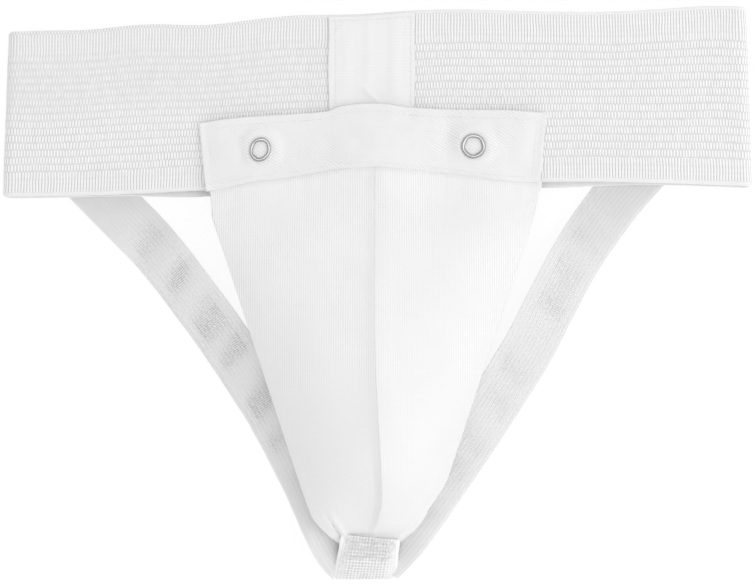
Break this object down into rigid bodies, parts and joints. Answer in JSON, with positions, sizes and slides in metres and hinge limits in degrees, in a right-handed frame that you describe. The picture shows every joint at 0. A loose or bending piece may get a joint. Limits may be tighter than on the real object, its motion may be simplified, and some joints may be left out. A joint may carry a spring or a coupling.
{
  "type": "groin protector",
  "caption": "Padded-edge hard cup in a snapped pouch on a wide elastic waistband with elastic leg straps; laid flat on its back.",
  "frame": {"origin": "on the floor, under the middle of the plan outline of the garment as it lies on its back", "axes": "+Z out of the garment's front, up from the floor; +Y towards the waistband; +X to the right as seen from above"},
  "size_m": [0.329, 0.251, 0.0504],
  "materials": {
    "band_elastic": "wide woven elastic, ribbed in rows",
    "strap_elastic": "narrow ribbed elastic",
    "twill": "cotton twill",
    "jersey": "fine knitted jersey",
    "satin": "bare satin label",
    "cup_plastic": "moulded, light sheen",
    "cup_rubber": "soft moulded edge",
    "snap_metal": "nickel-plated brass"
  },
  "bodies": {
    "belt": {"waistband": "band_elastic", "front_label": "satin", "pocket_lining": "jersey", "leg_strap_left": "strap_elastic", "leg_strap_right": "strap_elastic", "bottom_tab": "strap_elastic", "snap_stud_left": "snap_metal", "snap_stud_right": "snap_metal", "snap_back_ring_left": "snap_metal", "snap_back_ring_right": "snap_metal"},
    "pocket_front": {"pocket_flap": "twill", "pouch_panel_left": "jersey", "pouch_panel_right": "jersey", "snap_cap_left": "snap_metal", "snap_cap_right": "snap_metal", "snap_socket_left": "snap_metal", "snap_socket_right": "snap_metal"},
    "cup": {"cup_shell": "cup_plastic", "cup_edge_pad": "cup_rubber"}
  },
  "joints": [
    {"name": "cup_slide", "type": "slide", "parent": "belt", "child": "cup", "axis": [0, 0.9994, 0.035], "range_m": [0, 0.145]},
    {"name": "pocket_open", "type": "hinge", "parent": "belt", "child": "pocket_front", "pos_m": [-0.002, -0.1055, 0.014], "axis": [1, 0, 0], "range_deg": [0, 24]}
  ],
  "couplings": [
    {"joint": "pocket_open", "follows": "cup_slide", "rad_per_m": 2.888}
  ]
}
